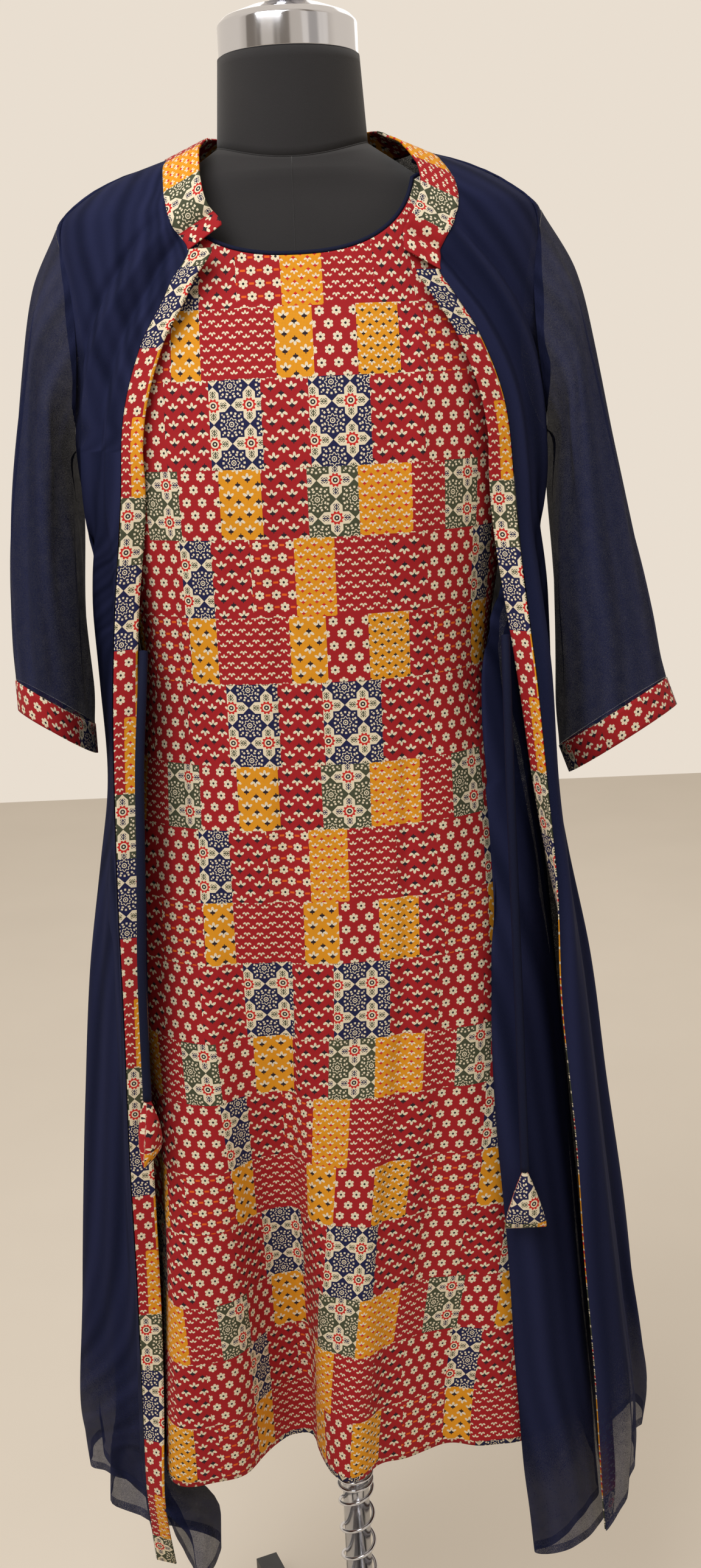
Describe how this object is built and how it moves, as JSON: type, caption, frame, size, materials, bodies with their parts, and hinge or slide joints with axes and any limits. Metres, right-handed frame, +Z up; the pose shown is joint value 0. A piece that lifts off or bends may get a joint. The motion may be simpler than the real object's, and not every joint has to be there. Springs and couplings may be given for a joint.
{
  "type": "jacket kurti on dress form",
  "caption": "Sleeveless printed kurti under an open sheer long jacket with printed collar, bands and cuffs and hanging ties, worn on a limbless dress form with a pole and four-legged stand",
  "frame": {"origin": "on the floor plane, at the middle of the hub's flat underside, below the axis of the pole", "axes": "+Z up, the garment's front faces -Y, +X is to the viewer's right when the front is seen"},
  "size_m": [0.58, 0.5638, 1.7049],
  "materials": {
    "kurti_print": "matt printed cotton",
    "trim_print": "matt printed cotton",
    "navy_georgette": "sheer crepe georgette",
    "navy_piping": "matt",
    "form_jersey": "matt jersey",
    "chrome": "polished",
    "black_steel": "satin black"
  },
  "bodies": {
    "root": {"kurti_front": "kurti_print", "kurti_back": "kurti_print", "kurti_neck_piping": "navy_piping", "jacket_front_left": "navy_georgette", "jacket_front_right": "navy_georgette", "jacket_back": "navy_georgette", "sleeve_left": "navy_georgette", "sleeve_right": "navy_georgette", "cuff_left": "trim_print", "cuff_right": "trim_print", "collar": "trim_print", "front_band_left": "trim_print", "front_band_right": "trim_print", "dori_left": "navy_piping", "dori_right": "navy_piping", "latkan_left": "trim_print", "latkan_right": "trim_print", "form_torso": "form_jersey", "form_neck": "form_jersey", "neck_cap": "chrome", "finial_ball": "chrome", "stand_pole": "chrome", "stand_spring": "chrome", "stand_hub": "black_steel", "stand_leg_1": "black_steel", "stand_leg_2": "black_steel", "stand_leg_3": "black_steel", "stand_leg_4": "black_steel"}
  },
  "joints": []
}
